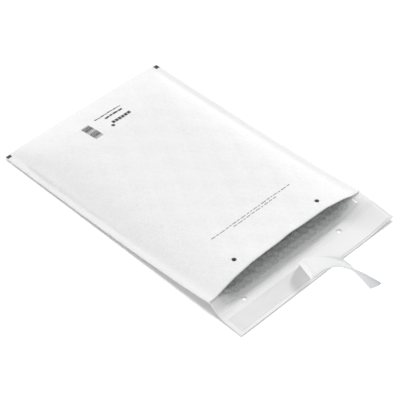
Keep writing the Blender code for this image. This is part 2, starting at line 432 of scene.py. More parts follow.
    def front_point(self, across: Array, along: Array, inside: Array | float = 0.0,
                    show: float = 1.0) -> Array:
        """Points on the front, or at a depth inside it (negative is outside).

        Args:
            across: Places across.
            along: Places along.
            inside: Depths below the middle of the paper.
            show: Share of the bubbles' marks that is shown.

        Returns:
            Points in the model's frame.
        """
        fold_start = self.length - self.fold_radius(across)
        height = self.front_height(across, along, fold_start) - inside
        height = height + self.cockles(across, along, fold_start)
        return self.placed(across, along, height + show * self.telegraph(across, along, fold_start))

    def surface(self, across: Array, stretch: Stretch, part: Array, inside: Array | float = 0.0,
                lip: float = 0.0, past_mouth: float = 0.0, show: float = 1.0) -> Array:
        """Points of one stretch of the sheet, or of a surface at a depth inside it.

        Args:
            across: Places across, in columns.
            stretch: The stretch of the sheet.
            part: 0 to 1 along the stretch, in rows.
            inside: Depths inside the middle of the paper.
            lip: Set-back behind the front's lip.
            past_mouth: How far the flap stretch reaches past the mouth line.
            show: Share of the bubbles' marks that is shown.

        Returns:
            Points in the model's frame, row by row.
        """
        across, part = np.broadcast_arrays(across, part)
        fold_start = self.length - self.fold_radius(across)
        if stretch is Stretch.FRONT:
            start = self.lip_set_back * (1 - self.ratio(across) ** 2)
            along = np.maximum(start + (fold_start - start) * part, start + lip)
            return self.front_point(across, along, inside, show)
        if stretch is Stretch.FOLD:
            top = self.front_height(across, fold_start, fold_start)
            bottom = self.back_height(across, fold_start)
            reach = (top - bottom) / 2 - inside
            turn = math.pi * (0.5 - part)
            return self.placed(across, fold_start + reach * np.cos(turn),
                               (top + bottom) / 2 + reach * np.sin(turn))
        if stretch is Stretch.BACK:
            along = fold_start * (1 - part)
            dimple = self.bubble_show - self.telegraph(across, along, fold_start)
            calm = (smooth_step((fold_start - along) / self.bubble_fade)
                    * smooth_step(along / self.dimple_fade))
            height = self.back_height(across, along) + inside + self.dimple * show * calm * dimple
            return self.placed(across, along, height)
        along = -past_mouth * part
        ridge = self.crease_rise * np.exp(-((along + self.crease_past) / self.crease_half) ** 2)
        return self.placed(across, along, self.flap_height(across, -along) + inside + ridge)

    def on_flap(self, across: Array, along: Array, lift: float) -> Array:
        """Points a given height above the upper face of the flap."""
        across, along = np.broadcast_arrays(across, along)
        return self.placed(across, along, self.flap_height(across, -along) + self.paper / 2 + lift)


# ---------------------------------------------------------------- finishes


@dataclass(frozen=True)
class Finish:
    """A finish: its name, its colour and how it takes the light."""

    name: str
    colour: str
    roughness: float

    def start(self) -> tuple[bpy.types.Material, bpy.types.NodeTree, bpy.types.Node, bpy.types.NodeSocket]:
        """Make the material with its shader and its coordinates.

        Returns:
            The material, its tree, its Principled shader and the Object coordinates.
        """
        material = bpy.data.materials.new(self.name)
        material.use_nodes = True
        tree = material.node_tree
        shader = tree.nodes["Principled BSDF"]
        shader.inputs["Base Color"].default_value = from_srgb(self.colour)
        shader.inputs["Roughness"].default_value = self.roughness
        place = add_node(tree, "ShaderNodeTexCoord").outputs["Object"]
        return material, tree, shader, place


@dataclass(frozen=True)
class BleachedKraft(Finish):
    """White machine-glazed kraft paper: matt, with fine fibres and faint clouds.

    The eye gets a soft, slightly mottled white with no clear highlight, and a grain of
    felt-like fibres that catches a low light.
    """

    name: str = "bleached kraft paper"
    colour: str = "#F2F2F2"
    roughness: float = 0.62
    shade: str = "#E6E6E6"
    fibre: float = 1.5 * MM      # real fibres are about 0.03 mm wide, drawn coarse to show
    cloud: float = 14 * MM       # formation of the sheet, uneven against the light
    crease: float = 5 * MM       # handling marks

    def build(self) -> bpy.types.Material:
        """Make the material.

        Returns:
            The material.
        """
        material, tree, shader, place = self.start()
        cloud = add_node(tree, "ShaderNodeTexNoise", None,
                         {"Vector": place, "Scale": 1 / self.cloud, "Detail": 3.0, "Roughness": 0.6})
        fibre = add_node(tree, "ShaderNodeTexNoise", None,
                         {"Vector": place, "Scale": 1 / self.fibre, "Detail": 4.0, "Roughness": 0.7})
        both = add_node(tree, "ShaderNodeMix", {"data_type": "FLOAT"},
                        {0: 0.88, 2: cloud.outputs["Fac"], 3: fibre.outputs["Fac"]})
        tone = add_node(tree, "ShaderNodeValToRGB", None, {"Fac": both.outputs[0]})
        set_stops(tone, (0.36, self.shade), (0.6, self.colour))
        tree.links.new(tone.outputs["Color"], shader.inputs["Base Color"])
        marks = add_node(tree, "ShaderNodeTexNoise", None,
                         {"Vector": place, "Scale": 1 / self.crease, "Detail": 5.0, "Roughness": 0.55})
        coarse = add_node(tree, "ShaderNodeBump", None,
                          {"Strength": 0.3, "Distance": 0.2 * MM, "Height": marks.outputs["Fac"]})
        fine = add_node(tree, "ShaderNodeBump", None,
                        {"Strength": 0.5, "Distance": 0.05 * MM, "Height": fibre.outputs["Fac"],
                         "Normal": coarse.outputs["Normal"]})
        tree.links.new(fine.outputs["Normal"], shader.inputs["Normal"])
        shader.inputs["Specular IOR Level"].default_value = 0.3
        return material


@dataclass(frozen=True)
class ClearFilm(Finish):
    """Blown polyethylene film: clear, faintly milky and softly shiny."""

    name: str = "clear polyethylene film"
    colour: str = "#F0F2F2"
    roughness: float = 0.22
    alpha: float = 0.2
    pucker: float = 3.2 * MM     # the film is drawn and slack between its bubbles

    def build(self) -> bpy.types.Material:
        """Make the material.

        Returns:
            The material.
        """
        material, tree, shader, place = self.start()
        pucker = add_node(tree, "ShaderNodeTexNoise", None,
                          {"Vector": place, "Scale": 1 / self.pucker, "Detail": 2.0, "Distortion": 0.8})
        bump = add_node(tree, "ShaderNodeBump", None,
                        {"Strength": 0.4, "Distance": 0.2 * MM, "Height": pucker.outputs["Fac"]})
        tree.links.new(bump.outputs["Normal"], shader.inputs["Normal"])
        shader.inputs["Alpha"].default_value = self.alpha
        shader.inputs["IOR"].default_value = 1.51
        return material


@dataclass(frozen=True)
class Adhesive(Finish):
    """Pressure-sensitive rubber adhesive, coated on the paper: clear, faintly grey, tacky.

    The eye sees the paper through it, a little darker, with a low shine in patches.
    """

    name: str = "pressure-sensitive adhesive"
    colour: str = "#F0F0EF"
    roughness: float = 0.45
    shade: str = "#DFE0E0"
    alpha: float = 0.13
    streak: float = 9 * MM       # the coat is uneven in patches that the liner has pulled

    def build(self) -> bpy.types.Material:
        """Make the material.

        Returns:
            The material.
        """
        material, tree, shader, place = self.start()
        along = add_node(tree, "ShaderNodeMapping", None, {"Vector": place, "Scale": (0.45, 1.0, 1.0)})
        patch = add_node(tree, "ShaderNodeTexNoise", None,
                         {"Vector": along.outputs["Vector"], "Scale": 1 / self.streak, "Detail": 4.0,
                          "Distortion": 1.2})
        tone = add_node(tree, "ShaderNodeValToRGB", None, {"Fac": patch.outputs["Fac"]})
        set_stops(tone, (0.35, self.shade), (0.62, self.colour))
        tree.links.new(tone.outputs["Color"], shader.inputs["Base Color"])
        bump = add_node(tree, "ShaderNodeBump", None,
                        {"Strength": 0.3, "Distance": 0.1 * MM, "Height": patch.outputs["Fac"]})
        tree.links.new(bump.outputs["Normal"], shader.inputs["Normal"])
        shader.inputs["Alpha"].default_value = self.alpha
        return material


@dataclass(frozen=True)
class ReleaseFilm(Finish):
    """Thin release film: smooth, slightly slack and faintly see-through.

    Stuck down it keeps its near-white colour; along the free end its colour is painted greyer. That is
    painted shade for the end that hangs turned away from the light, and it also stands for the film looking
    greyer with no white paper behind it.
    """

    # Painted shade: the greyer colour that the free end is blended to.
    free_shade_colour: str = "#E2E3E4"
    shine: float = 0.5
    slack: float = 7 * MM

    def build(self) -> bpy.types.Material:
        """Make the material.

        Returns:
            The material.
        """
        material, tree, shader, place = self.start()
        # The free attribute blends the colour towards the painted shade along the free end.
        free = add_node(tree, "ShaderNodeAttribute", {"attribute_name": "free"}).outputs["Fac"]
        tone = add_node(tree, "ShaderNodeMix", {"data_type": "RGBA"},
                        {0: free, 6: from_srgb(self.colour), 7: from_srgb(self.free_shade_colour)})
        tree.links.new(tone.outputs[2], shader.inputs["Base Color"])
        slack = add_node(tree, "ShaderNodeTexNoise", None,
                         {"Vector": place, "Scale": 1 / self.slack, "Detail": 2.0})
        bump = add_node(tree, "ShaderNodeBump", None,
                        {"Strength": 0.25, "Distance": 0.3 * MM, "Height": slack.outputs["Fac"]})
        tree.links.new(bump.outputs["Normal"], shader.inputs["Normal"])
        shader.inputs["Specular IOR Level"].default_value = self.shine
        return material


@dataclass(frozen=True)
class PrintingInk(Finish):
    """Flexographic ink soaked into paper: matt and a little broken by the fibres."""

    gap: str = "#8B8B8B"
    fibre: float = 0.9 * MM

    def build(self) -> bpy.types.Material:
        """Make the material.

        Returns:
            The material.
        """
        material, tree, shader, place = self.start()
        fibre = add_node(tree, "ShaderNodeTexNoise", None,
                         {"Vector": place, "Scale": 1 / self.fibre, "Detail": 3.0})
        tone = add_node(tree, "ShaderNodeValToRGB", None, {"Fac": fibre.outputs["Fac"]})
        set_stops(tone, (0.5, self.colour), (0.78, self.gap))
        tree.links.new(tone.outputs["Color"], shader.inputs["Base Color"])
        return material


@dataclass(frozen=True)
class HotMelt(Finish):
    """Hot-melt glue: pale straw, waxy and stringy."""

    name: str = "hot-melt glue"
    colour: str = "#E7E0CB"
    roughness: float = 0.42
    string: float = 2.5 * MM

    def build(self) -> bpy.types.Material:
        """Make the material.

        Returns:
            The material.
        """
        material, tree, shader, place = self.start()
        strings = add_node(tree, "ShaderNodeTexNoise", None,
                           {"Vector": place, "Scale": 1 / self.string, "Detail": 3.0, "Distortion": 2.0})
        bump = add_node(tree, "ShaderNodeBump", None,
                        {"Strength": 0.6, "Distance": 0.2 * MM, "Height": strings.outputs["Fac"]})
        tree.links.new(bump.outputs["Normal"], shader.inputs["Normal"])
        shader.inputs["Subsurface Weight"].default_value = 0.2
        shader.inputs["Subsurface Scale"].default_value = 1 * MM
        return material


@dataclass(frozen=True)
class StudioFloor(Finish):
    """Matt white table top with a little light of its own, so that it stays white."""

    name: str = "white table top"
    colour: str = "#FBFBFB"
    roughness: float = 0.9
    glow: float = 0.05

    def build(self) -> bpy.types.Material:
        """Make the material.

        Returns:
            The material.
        """
        material, _tree, shader, _place = self.start()
        shader.inputs["Specular IOR Level"].default_value = 0.0
        shader.inputs["Emission Color"].default_value = from_srgb("#FFFFFF")
        shader.inputs["Emission Strength"].default_value = self.glow
        return material


# ---------------------------------------------------------------- pieces of the envelope


@dataclass
class PunchedHoles:
    """The round holes for a sample-bag clip, and the cylinders that punch them."""

    form: SheetForm
    diameter: float = 5.6 * MM
    front: tuple[tuple[float, float], ...] = ((-64 * MM, 21 * MM), (69 * MM, 19 * MM))
    flap: tuple[tuple[float, float], ...] = ((-84 * MM, -14.5 * MM), (66.5 * MM, -18.5 * MM))
    front_cut: tuple[float, float] = (15 * MM, 27 * MM)     # heights between which each is cut
    flap_cut: tuple[float, float] = (-4 * MM, 9 * MM)
    sides: int = 40

    def cylinder(self, place: tuple[float, float], low: float, high: float) -> tuple[Array, Array]:
        """Points and faces of an upright cylinder, its caps a fan round a middle point.

        Args:
            place: Middle of the hole, across and along.
            low: Height of the lower end.
            high: Height of the upper end.

        Returns:
            The points and the faces.
        """
        turn = np.linspace(0, 2 * math.pi, self.sides, endpoint=False)
        ring = np.stack([place[0] + np.cos(turn) * self.diameter / 2,
                         place[1] + self.form.mouth + np.sin(turn) * self.diameter / 2], axis=1)
        lower = np.column_stack([ring, np.full(self.sides, low)])
        upper = np.column_stack([ring, np.full(self.sides, high)])
        ends = np.array([[place[0], place[1] + self.form.mouth, height] for height in (low, high)])
        wall = ring_faces(self.sides, 0, self.sides)
        bottom = ring_faces(self.sides, 0, 2 * self.sides, to_point=True)[:, TURNED_OVER]
        top = ring_faces(self.sides, self.sides, 2 * self.sides + 1, to_point=True)
        return np.concatenate([lower, upper, ends]), np.concatenate([wall, bottom, top])

    def punch(self, thing: bpy.types.Object, with_flap: bool) -> None:
        """Cut the holes through a piece and settle its mesh.

        Args:
            thing: The piece.
            with_flap: Whether the flap's holes are cut as well as the front's.
        """
        jobs = [(place, *self.front_cut) for place in self.front]
        if with_flap:
            jobs += [(place, *self.flap_cut) for place in self.flap]
        shapes = [self.cylinder(*job) for job in jobs]
        starts = np.cumsum([0] + [len(points) for points, _ in shapes[:-1]])
        points = np.concatenate([shape[0] for shape in shapes])
        faces = np.concatenate([shape[1] + start for shape, start in zip(shapes, starts)])
        cutter = mesh_piece("hole_cutter", points, faces, [])
        cut = thing.modifiers.new("holes", "BOOLEAN")
        cut.operation = "DIFFERENCE"
        cut.object = cutter
        settle(thing)
        bpy.data.objects.remove(cutter)


@dataclass
class PaperSheet:
    """The folded kraft sheet: front, closed end, underside and flap."""

    form: SheetForm
    holes: PunchedHoles
    columns: int = 128
    seam_columns: int = 8
    rows: dict[Stretch, int] = field(default_factory=lambda: {
        Stretch.FRONT: 152, Stretch.FOLD: 12, Stretch.BACK: 84, Stretch.FLAP: 60})

    def places_across(self) -> Array:
        """Space the columns evenly, with one on each seam's crease.

        Returns:
            Their places across, as one row.
        """
        form = self.form
        middle = np.linspace(-form.inner, form.inner, self.columns - 2 * self.seam_columns + 1)
        edge = np.linspace(form.inner, form.width / 2, self.seam_columns + 1)[1:]
        return np.concatenate([-edge[::-1], middle, edge])[None, :]

    def build(self) -> bpy.types.Object:
        """Make the paper.

        Returns:
            The paper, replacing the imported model's.
        """
        across = self.places_across()
        bands = []
        for stretch, count in self.rows.items():
            part = np.linspace(0, 1, count + 1)[:, None]
            band = self.form.surface(across, stretch, part, past_mouth=self.form.flap)
            bands.append(band if not bands else band[1:])
        points = np.concatenate(bands)
        paper = mesh_piece("kraft_paper_sheet", points, grid_faces(*points.shape[:2]),
                           [BleachedKraft().build()])
        add_wall(paper, self.form.paper)
        self.holes.punch(paper, with_flap=True)
        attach(paper, "root")
        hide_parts("outer_paper")
        return paper


@dataclass
class BubbleFilm:
    """The film that lines the pocket: a flat base film and bubbles on its paper side."""

    form: SheetForm
    holes: PunchedHoles
    half_width: float = 110 * MM
    set_back: float = 4 * MM
    past_mouth: float = 10 * MM
    taper: float = 14 * MM
    clear: float = 0.49 * MM       # from the middle of the paper to the tops of the bubbles
    full: float = 2.8 * MM
    crushed: float = 0.5 * MM
    base: float = 0.12 * MM
    fold_share: float = 0.15       # fullness round the fold, and past the mouth
    mouth_share: float = 0.74
    front_rate: float = 12.0       # one over the share of a stretch in which the film thins
    back_rate: float = 10.0
    bubble_radius: float = 4.8 * MM
    bubble_sides: int = 10
    bubble_rings: tuple[float, ...] = (1.0, 0.94, 0.72, 0.0)
    side_clear: float = 6 * MM     # no bubble stands nearer than this to an edge of the film
    end_clear: float = 14 * MM
    lip_clear: float = 10 * MM
    cut_clear: float = 5 * MM
    columns: int = 88
    rows: dict[Stretch, int] = field(default_factory=lambda: {
        Stretch.FRONT: 110, Stretch.FOLD: 10, Stretch.BACK: 90, Stretch.FLAP: 6})

    def height(self, across: Array, ends: Array | float) -> Array:
        """Height of the bubbles: full, but crushed towards the sides and the ends.

        Args:
            across: Places across.
            ends: 0 to 1, how full the film is along its length.

        Returns:
            Heights of the film's body over its base.
        """
        side = smooth_step((self.half_width - np.abs(across)) / self.taper)
        return self.crushed + (self.full - self.crushed) * side * ends

    def fullness(self, stretch: Stretch, part: Array) -> Array:
        """How full the film is along a stretch.

        Args:
            stretch: The stretch of the sheet.
            part: 0 to 1 along the stretch.

        Returns:
            0 where it is crushed to 1 where it is full.
        """
        if stretch is Stretch.FRONT:
            return smooth_step((1 - part) * self.front_rate)
        if stretch is Stretch.BACK:
            return smooth_step(part * self.back_rate)
        return np.full_like(part, self.fold_share if stretch is Stretch.FOLD else self.mouth_share)

    def build_base(self, material: bpy.types.Material) -> bpy.types.Object:
        """Make the flat base film, on the side of the contents.

        Args:
            material: The film's material.

        Returns:
            The base film.
        """
        across = np.linspace(-self.half_width, self.half_width, self.columns + 1)[None, :]
        bands = []
        for stretch, count in self.rows.items():
            part = np.linspace(0, 1, count + 1)[:, None]
            inside = self.clear + self.height(across, self.fullness(stretch, part)) - self.base / 2
            band = self.form.surface(across, stretch, part, inside, self.set_back, self.past_mouth, 0.0)
            bands.append(band if not bands else band[1:])
        points = np.concatenate(bands)
        film = mesh_piece("bubble_film_base", points, grid_faces(*points.shape[:2]), [material])
        add_wall(film, self.base)
        self.holes.punch(film, with_flap=False)
        return film

    def centres(self, start: float, end: float) -> Array:
        """Middles of the bubbles of one side: the peaks of the hexagonal lattice.

        Args:
            start: Lowest place along.
            end: Highest place along.

        Returns:
            Rows of places across and along.
        """
        pitch, row_pitch = self.form.bubble_pitch, self.form.bubble_pitch * math.sqrt(3) / 2
        reach = self.half_width - self.side_clear
        rows = np.arange(math.ceil(start / row_pitch), math.floor(end / row_pitch) + 1)
        steps = np.arange(-math.ceil(reach / pitch), math.ceil(reach / pitch) + 1)
        row, step = np.meshgrid(rows, steps, indexing="ij")
        spots = np.stack([(step + 0.5 * (row % 2)) * pitch, row * row_pitch], axis=-1).reshape(-1, 2)
        spots = spots[np.abs(spots[:, 0]) < reach]
        hole = np.array(self.holes.front)
        away = np.linalg.norm(spots[:, None] - hole[None], axis=2).min(axis=1)
        return spots[away > self.bubble_radius + self.holes.diameter / 2]

    def domes(self, spots: Array, front: bool) -> tuple[Array, Array]:
        """Points and faces of the bubbles on one side: flat-topped domes on rings.

        The height over the base film is the square root of one less the fourth power of
        the distance from the middle, in radii.

        Args:
            spots: Middles, across and along.
            front: Whether they line the front or the underside.

        Returns:
            The points and the faces.
        """
        sides, rings = self.bubble_sides, np.array(self.bubble_rings)
        profile = np.sqrt(1 - rings ** 4)
        turn = np.linspace(0, 2 * math.pi, sides, endpoint=False)
        circle = np.stack([np.cos(turn), np.sin(turn)], axis=1) * self.bubble_radius
        spread = spots[:, None, None, :] + rings[None, :, None, None] * circle[None, None]
        across, along = spread[..., 0], spread[..., 1]
        body = self.height(across, self.fullness(Stretch.FRONT, along / self.form.length))
        depth = self.clear + body - self.base - (body - self.base) * profile[None, :, None]
        if front:
            points = self.form.front_point(across, along, depth, 0.0)
        else:
            base = np.where(along < 0, self.form.flap_height(across, np.maximum(-along, 0)),
                            self.form.back_height(across, along))
            points = self.form.placed(across, along, base + depth)
        starts = np.arange(len(rings)) * sides
        layers = [ring_faces(sides, ring, inner) for ring, inner in zip(starts[:-2], starts[1:-1])]
        one = np.concatenate([*layers, ring_faces(sides, starts[-2], starts[-1], to_point=True)])
        if not front:
            one = one[:, TURNED_OVER]
        faces = one[None] + (np.arange(len(spots)) * len(rings) * sides)[:, None, None]
        return points.reshape(-1, 3), faces.reshape(-1, 4)

    def build_bubbles(self, material: bpy.types.Material) -> bpy.types.Object:
        """Make the bubbles of both sides.

        Args:
            material: The bubbles' material.

        Returns:
            The bubbles.
        """
        end = self.form.length - self.end_clear
        front, front_faces = self.domes(self.centres(self.set_back + self.lip_clear, end), True)
        back, back_faces = self.domes(self.centres(-self.past_mouth + self.cut_clear, end), False)
        bubbles = mesh_piece("bubble_film_bubbles", np.concatenate([front, back]),
                             np.concatenate([front_faces, back_faces + len(front)]), [material])
        clean = bubbles.modifiers.new("poles", "WELD")
        clean.merge_threshold = 0.01 * MM
        settle(bubbles)
        return bubbles

    def build(self) -> list[bpy.types.Object]:
        """Make the film and its bubbles.

        Returns:
            Both pieces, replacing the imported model's film.
        """
        blown = ClearFilm(name="clear polyethylene bubbles", roughness=0.14, alpha=0.5)
        made = [self.build_base(ClearFilm().build()), self.build_bubbles(blown.build())]
        for piece in made:
            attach(piece, "root")
            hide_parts("bubble_liner")
        return made


@dataclass
class SealStrip:
    """The adhesive strip along the flap and the half-peeled release liner over it."""

    form: SheetForm
    gap: float = 0.12 * MM
    tape: float = 0.06 * MM
    tape_width: float = 22 * MM
    tape_half: float = 120 * MM
    centre: float = -35 * MM
    liner: float = 0.1 * MM
    bow: float = 1.2 * MM          # the free end is bowed across its width
    edge_roll: float = 2.0 * MM    # and its two cut edges turn under
    roll_power: int = 10
    liner_width: float = 25 * MM
    right_end: float = 121 * MM
    peel_start: float = -4 * MM
    peel_radius: float = 6.5 * MM
    peel_skew: float = math.radians(17)
    peel_turn: float = math.radians(172)
    tape_grid: tuple[int, int] = (121, 13)
    liner_columns: int = 17        # crowded towards the edges, as a sine
    stuck_rows: int = 61
    loop_rows: int = 49
    span_rows: int = 12            # of each span of the free end
    # The free end: centre in millimetres from the mouth line, then the turn and
    # the lift of its width in degrees.
    free_end: tuple[tuple[float, ...], ...] = (
        (9.0, -50.0, 15.0, 50, 12), (16.5, -60.0, 17.6, 60, 24), (19.0, -72.5, 20.0, 54, 35),
        (19.2, -85.5, 21.0, 42, 45), (21.2, -97.5, 17.2, 22, 49), (24.2, -109.0, 11.0, 3, 52))

    def build_tape(self) -> bpy.types.Object:
        """Make the adhesive strip.

        Returns:
            The strip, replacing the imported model's.
        """
        columns, rows = self.tape_grid
        across = np.linspace(-self.tape_half, self.tape_half, columns)[None, :]
        along = self.centre + np.linspace(-0.5, 0.5, rows)[:, None] * self.tape_width
        points = self.form.on_flap(across, along, self.gap + self.tape / 2)
        tape = mesh_piece("adhesive_coat", points, grid_faces(*points.shape[:2]), [Adhesive().build()])
        add_wall(tape, self.tape)
        settle(tape)
        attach(tape, "root")
        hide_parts("adhesive_strip")
        return tape

    @property
    def liner_lift(self) -> float:
        """Height of the middle of the stuck liner above the flap."""
        return 2 * self.gap + self.tape + self.liner / 2

    def stuck_part(self, side: Array) -> Array:
        """The stuck stretch: straight lines from the right end to the start of the peel.

        Args:
            side: -1 at the front edge to 1 at the back edge.

        Returns:
            Points, row by row.
        """
        half = self.liner_width / 2
        end = self.peel_start + half * math.tan(self.peel_skew)
        across = np.linspace(self.right_end, end, self.stuck_rows)[:, None]
        return self.form.on_flap(across, self.centre + side[None, :] * half, self.liner_lift)

    def loop_part(self, side: Array) -> Array:
        """The loop: the strip rolled round a cylinder whose axis is skewed to the strip.

        A point's distance past the line where the peel starts is turned into an angle of
        roll, up to the whole turn, and past that into a straight run.

        Args:
            side: -1 at the front edge to 1 at the back edge.

        Returns:
            Points, row by row.
        """
        half = self.liner_width / 2
        slant = half * math.tan(self.peel_skew)
        normal = np.array([math.cos(self.peel_skew), -math.sin(self.peel_skew)])
        turned = self.peel_turn * self.peel_radius / math.cos(self.peel_skew)
        travel = np.linspace(slant, -slant - turned, self.loop_rows)[1:, None]
        flat = np.stack(np.broadcast_arrays(travel, side[None, :] * half), axis=-1)
        rolled = np.maximum(0.0, -(flat @ normal))
        angle = np.minimum(rolled / self.peel_radius, self.peel_turn)
        straight = rolled - angle * self.peel_radius
        shift = rolled - self.peel_radius * np.sin(angle) - straight * np.cos(angle)
        rise = self.peel_radius * (1 - np.cos(angle)) + straight * np.sin(angle)
        base = self.form.on_flap(np.array(self.peel_start), np.array(self.centre), self.liner_lift)
        ground = flat + shift[..., None] * normal
        return np.concatenate([ground, rise[..., None]], axis=-1) + base

    def free_part(self, loop: Array, side: Array) -> Array:
        """The free end: a Catmull-Rom curve through the loop's end and the listed places.

        Across its width it is bowed out of its plane by a parabola, and its edges turn under
        by a high power of the distance from the middle.

        Args:
            loop: Points of the loop, whose end it runs out of.
            side: -1 at the front edge to 1 at the back edge.

        Returns:
            Points, row by row.
        """
        table = np.array(self.free_end)
        turn, lift = np.radians(table[:, 3]), np.radians(table[:, 4])
        middle = table[:, :3] * MM + np.array([0, self.form.mouth, 0])
        half = np.stack([-np.sin(turn) * np.cos(lift), -np.cos(turn) * np.cos(lift), np.sin(lift)],
                        axis=1) * self.liner_width / 2
        back, front = middle - half, middle + half
        lead = loop[[-(len(loop) // 8), -1]]        # the last eighth of the loop, for its slope
        edges = np.concatenate([lead[:, [-1, 0]], np.stack([back, front], axis=1)])
        edges = np.concatenate([edges, 2 * edges[-1:] - edges[-2:-1]])
        spans = len(edges) - 3
        step = (np.arange(1, self.span_rows + 1) / self.span_rows)[None, :, None, None]
        before, start, end, after = (edges[k:k + spans, None] for k in range(4))
        slope_in, slope_out = (end - before) / 2, (after - start) / 2
        curve = (start * (2 * step ** 3 - 3 * step ** 2 + 1) + slope_in * (step ** 3 - 2 * step ** 2 + step)
                 + end * (3 * step ** 2 - 2 * step ** 3) + slope_out * (step ** 3 - step ** 2))
        curve = curve.reshape(-1, 2, 3)
        share = ((1 - side) / 2)[None, :, None]
        flat = curve[:, :1] * (1 - share) + curve[:, 1:] * share
        run = np.gradient(flat.mean(axis=1), axis=0)
        normal = np.cross(run, curve[:, 1] - curve[:, 0])
        normal /= np.linalg.norm(normal, axis=1, keepdims=True)
        bulge = self.bow * (1 - side ** 2) + self.edge_roll * (1 - side ** self.roll_power)
        grow = smooth_step(np.linspace(0, 3, len(flat)))[:, None] * bulge[None, :]
        return flat + grow[..., None] * normal[:, None, :]

    def build_liner(self) -> bpy.types.Object:
        """Make the release liner: stuck down, looped back and hanging over the flap.

        Returns:
            The liner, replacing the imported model's.
        """
        side = np.sin(np.linspace(-math.pi / 2, math.pi / 2, self.liner_columns))
        stuck = self.stuck_part(side)
        loop = self.loop_part(side)
        loose = self.free_part(loop, side)
        points = np.concatenate([stuck, loop, loose])
        # Each face's last colour is the painted shade of the free end; the outer face's is darker, for the
        # twisted tail that turns away from the light.
        faces = [ReleaseFilm("release film, outer face", "#F0F0F0", 0.6, "#BEBFC1", shine=0.25),
                 ReleaseFilm("release film, siliconised face", "#F4F4F4", 0.22, "#DADBDC")]
        liner = mesh_piece("release_film_strip", points, grid_faces(*points.shape[:2]),
                           [face.build() for face in faces])
        # How much painted shade each point gets: none where stuck or looped, rising along the free end.
        free = np.concatenate([np.zeros(len(stuck) + len(loop)), np.linspace(0, 1, len(loose)) ** 0.5])
        values = liner.data.attributes.new("free", "FLOAT", "POINT")
        values.data.foreach_set("value", np.repeat(free, len(side)).astype(np.float32))
        add_wall(liner, self.liner, under_slot=1)
        settle(liner)
        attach(liner, "root")
        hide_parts("release_liner")
        return liner

    def build(self) -> list[bpy.types.Object]:
        """Make the strip and the liner."""
        return [self.build_tape(), self.build_liner()]


@dataclass
class PrintedMarks:
    """Plain marks printed on the front: bars, dashes, a dot and two edge marks.

    Rectangles are given as middle across, middle along, width and length in millimetres.
    """

    form: SheetForm
    above: float = 0.09 * MM
    steps: int = 5          # points along each side of a rectangle
    dot_sides: int = 24

    def block_rows(self) -> list[tuple[float, float, float, float]]:
        """List the bars and short dashes of the block near the closed end.

        Returns:
            The rectangles.
        """
        widths = (0.8, 1.0, 1.6, 1.8, 1.2, 1.7, 0.9)
        bars = [(-30.4, 281.6 + 2.1 * k, 12.0, widths[k % len(widths)]) for k in range(14)]
        thin = self.dashes((-13.0, 28.5), 310.2, 1.7, (4.4, 3.2, 5.6, 2.8), 1.0)
        middle = self.dashes((-2.0, 27.0), 303.2, 3.0, (6.2, 4.0, 7.4), 1.2)
        heavy = self.dashes((-1.5, 28.5), 290.4, 4.8, (4.1,), 0.9)
        edge = [(121.4, 343.0, 5.8, 6.4), (-121.7, 344.2, 6.4, 4.4)]
        return bars + thin + middle + heavy + edge

    def fine_rows(self) -> list[tuple[float, float, float, float]]:
        """List the fine grey dashes of the two rows near the mouth.

        Returns:
            The rectangles.
        """
        long_row = self.dashes((-59.0, 70.0), 62.0, 1.25, (6.2, 3.6, 8.0, 4.2, 2.8), 1.8)
        short_row = self.dashes((-27.0, 43.0), 58.2, 1.25, (5.0, 7.4, 3.2, 6.4), 1.8)
        return long_row + short_row

    @staticmethod
    def dashes(span: tuple[float, float], along: float, length: float, widths: tuple[float, ...],
               space: float) -> list[tuple[float, float, float, float]]:
        """A row of dashes whose widths repeat in turn.

        Args:
            span: Start and end of the row across.
            along: Place of the row along.
            length: Size of a dash along.
            widths: Sizes across, used in turn.
            space: Space between dashes.

        Returns:
            The rectangles.
        """
        row, start, index = [], span[0], 0
        while start < span[1] - 0.5:
            width = min(widths[index % len(widths)], span[1] - start)
            row.append((start + width / 2, along, width, length))
            start += width + space
            index += 1
        return row

    def patches(self, name: str, marks: list[tuple[float, float, float, float]], ink: PrintingInk,
                dots: tuple[tuple[float, float, float], ...] = ()) -> bpy.types.Object:
        """Lay rectangles and dots on the front as one thin piece.

        Args:
            name: Name of the piece.
            marks: The rectangles.
            ink: Their ink.
            dots: Round dots as middle across, middle along and radius, in millimetres.

        Returns:
            The piece.
        """
        table = np.array(marks) * MM
        step = np.linspace(-0.5, 0.5, self.steps)
        across = table[:, 0, None, None] + table[:, 2, None, None] * step[None, None, :]
        along = table[:, 1, None, None] + table[:, 3, None, None] * step[None, :, None]
        each = self.steps ** 2
        across, along = (grid.reshape(-1, each) for grid in np.broadcast_arrays(across, along))
        one = grid_faces(self.steps, self.steps)
        faces = (one[None] + (np.arange(len(table)) * each)[:, None, None]).reshape(-1, 4)
        lift = -(self.form.paper / 2 + self.above)
        points = self.form.front_point(across, along, lift).reshape(-1, 3)
        for middle_across, middle_along, radius in dots:
            turn = np.linspace(0, 2 * math.pi, self.dot_sides, endpoint=False)
            share = np.array([0.0, 0.5, 1.0])[:, None]
            ring_across = (middle_across + radius * share * np.cos(turn)) * MM
            ring_along = (middle_along + radius * share * np.sin(turn)) * MM
            dot = self.form.front_point(ring_across, ring_along, lift).reshape(-1, 3)
            wedge = ring_faces(self.dot_sides, self.dot_sides, 0, to_point=True)
            band = ring_faces(self.dot_sides, 2 * self.dot_sides, self.dot_sides)
            faces = np.concatenate([faces, np.concatenate([wedge, band]) + len(points)])
            points = np.concatenate([points, dot])
        piece = mesh_piece(name, points, faces, [ink.build()])
        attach(piece, "root")
        return piece

    def build(self) -> list[bpy.types.Object]:
        """Make both groups of marks.

        Returns:
            Both pieces.
        """
        black = PrintingInk("black flexographic ink", "#2E2F31", 0.6)
        grey = PrintingInk("grey flexographic ink", "#8C8D8F", 0.65, gap="#BDBDBD")
        return [self.patches("printed_bars", self.block_rows(), black, dots=((-4.6, 285.4, 2.5),)),
                self.patches("printed_dashes", self.fine_rows(), grey)]


